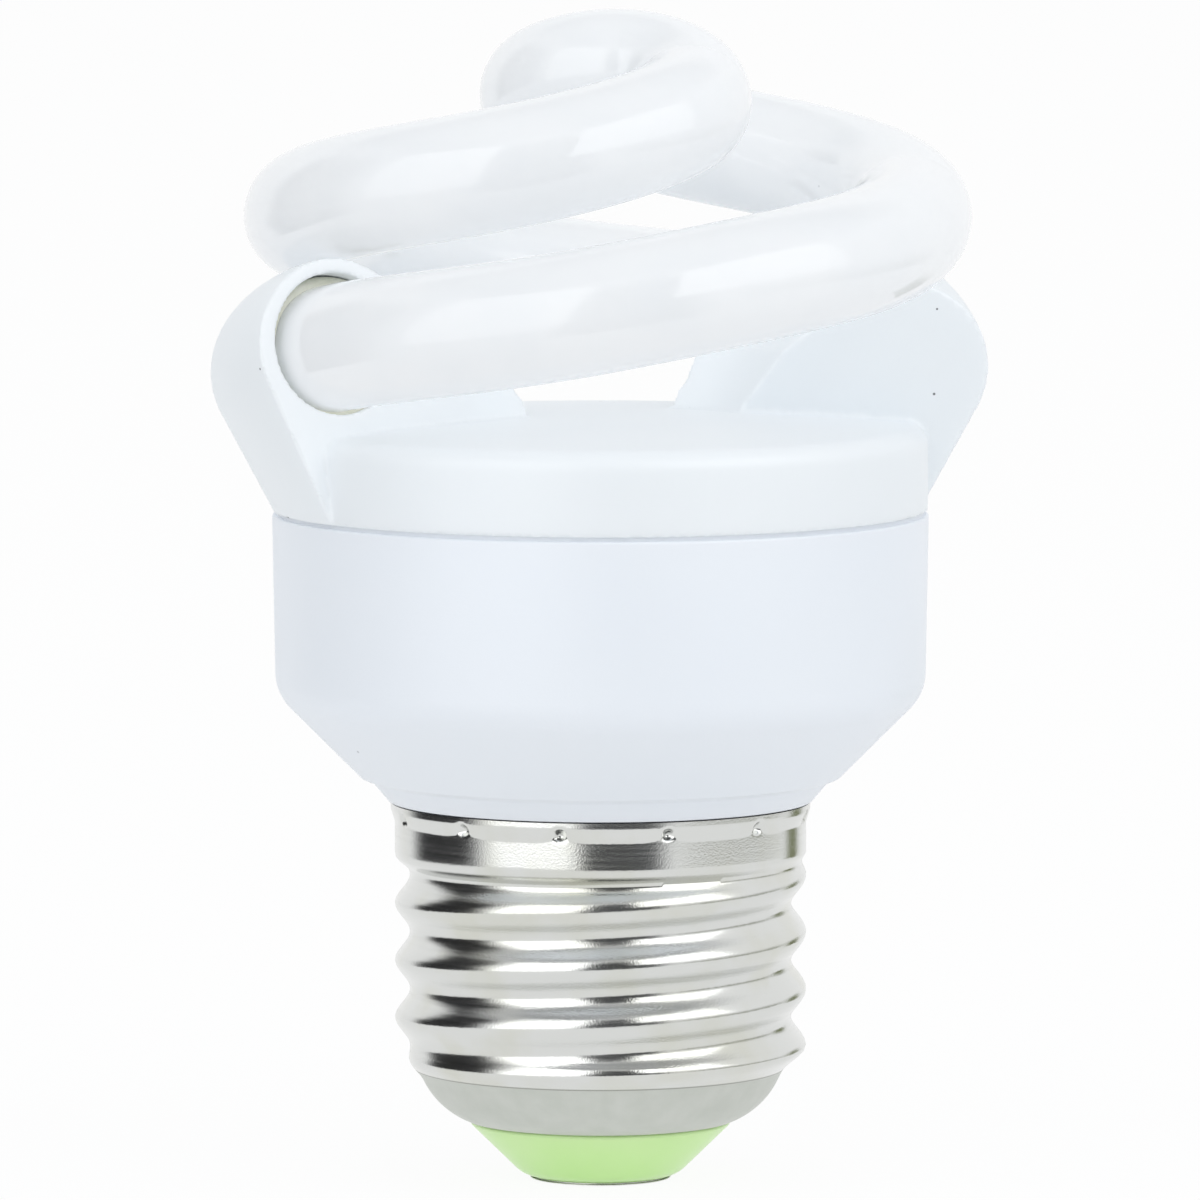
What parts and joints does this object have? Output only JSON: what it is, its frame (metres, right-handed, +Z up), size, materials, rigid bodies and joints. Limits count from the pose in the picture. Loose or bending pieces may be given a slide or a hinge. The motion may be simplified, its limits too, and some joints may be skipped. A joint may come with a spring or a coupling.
{
  "type": "spiral energy saving bulb",
  "caption": "Compact fluorescent lamp: white double-helix glass tube in a white ballast case with an E27 screw cap.",
  "frame": {"origin": "on the lamp's axis, at the flat bottom of the centre contact", "axes": "+Z up the lamp's axis from the cap to the spiral, front of the lamp towards -Y"},
  "size_m": [0.049, 0.0458, 0.074],
  "materials": {
    "tube_glass": "glossy glass, white inside",
    "holder_plastic": "satin moulded",
    "housing_plastic": "satin moulded",
    "cap_metal": "satin plated",
    "insulator_green": "smooth moulded",
    "contact_metal": "tinned",
    "board": "laminate",
    "capacitor_sleeve": "shrink sleeve",
    "ferrite": "sintered",
    "former_plastic": "moulded",
    "copper_wire": "enamelled",
    "black_epoxy": "moulded",
    "film_dip": "dipped",
    "resistor_body": "lacquered",
    "fuse_body": "cement coated",
    "lead_sleeve": "sleeved wire",
    "cement": "cured"
  },
  "bodies": {
    "root": {"spiral_tube": "tube_glass", "tube_holder": "holder_plastic", "lower_housing": "housing_plastic", "screw_shell": "cap_metal", "cap_insulator": "insulator_green", "centre_contact": "contact_metal", "circuit_board": "board", "bulk_capacitor": "capacitor_sleeve", "choke_core": "ferrite", "choke_bobbin": "former_plastic", "choke_winding": "copper_wire", "drive_toroid": "ferrite", "toroid_windings": "copper_wire", "transistors": "black_epoxy", "bridge_diodes": "black_epoxy", "trigger_diode": "resistor_body", "film_capacitors": "film_dip", "filter_core": "ferrite", "filter_winding": "copper_wire", "resistors": "resistor_body", "fuse_resistor": "fuse_body", "contact_lead": "lead_sleeve", "shell_lead": "lead_sleeve", "wrap_posts": "contact_metal", "filament_leads": "contact_metal", "tube_cement": "cement"}
  },
  "joints": []
}
